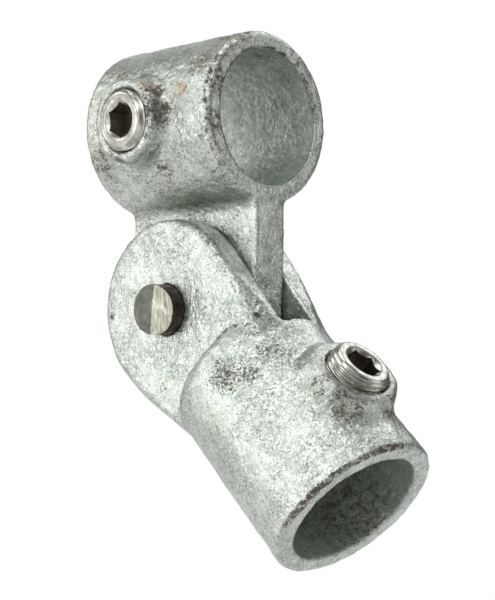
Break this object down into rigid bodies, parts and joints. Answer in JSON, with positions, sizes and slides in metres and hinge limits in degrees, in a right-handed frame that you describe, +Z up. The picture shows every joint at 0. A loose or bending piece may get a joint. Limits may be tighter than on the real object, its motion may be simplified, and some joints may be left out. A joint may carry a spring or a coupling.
{
  "type": "profile pivot joint",
  "caption": "Swivel tube clamp: a through collar and a blind socket turn on a cross pin, and hexagon socket set screws grip the tubes.",
  "frame": {"origin": "centre of the collar bore, halfway between its two mouths", "axes": "+X along the collar bore, +Z up and away from the pivot, pivot pin along Y with the collar's set screw on the -Y side"},
  "size_m": [0.0886, 0.0505, 0.1363],
  "materials": {
    "galvanised_iron": "hot-dip galvanised over a cast skin",
    "pin_steel": "bare steel, cropped end",
    "plated_screw": "bright plated"
  },
  "bodies": {
    "collar": {"collar_casting": "galvanised_iron"},
    "socket": {"socket_casting": "galvanised_iron", "pivot_pin": "pin_steel"},
    "collar_screw": {"collar_set_screw": "plated_screw"},
    "socket_screw": {"socket_set_screw": "plated_screw"}
  },
  "joints": [
    {"name": "pivot", "type": "hinge", "parent": "collar", "child": "socket", "pos_m": [-0.0028, 0, -0.0478], "axis": [0, -1, 0], "range_deg": [-145, 47]},
    {"name": "collar_screw_travel", "type": "slide", "parent": "collar", "child": "collar_screw", "axis": [0, 1, 0], "range_m": [-0.003, 0.002]},
    {"name": "socket_screw_travel", "type": "slide", "parent": "socket", "child": "socket_screw", "axis": [-0.7193, 0, -0.6947], "range_m": [-0.003, 0.002]}
  ]
}
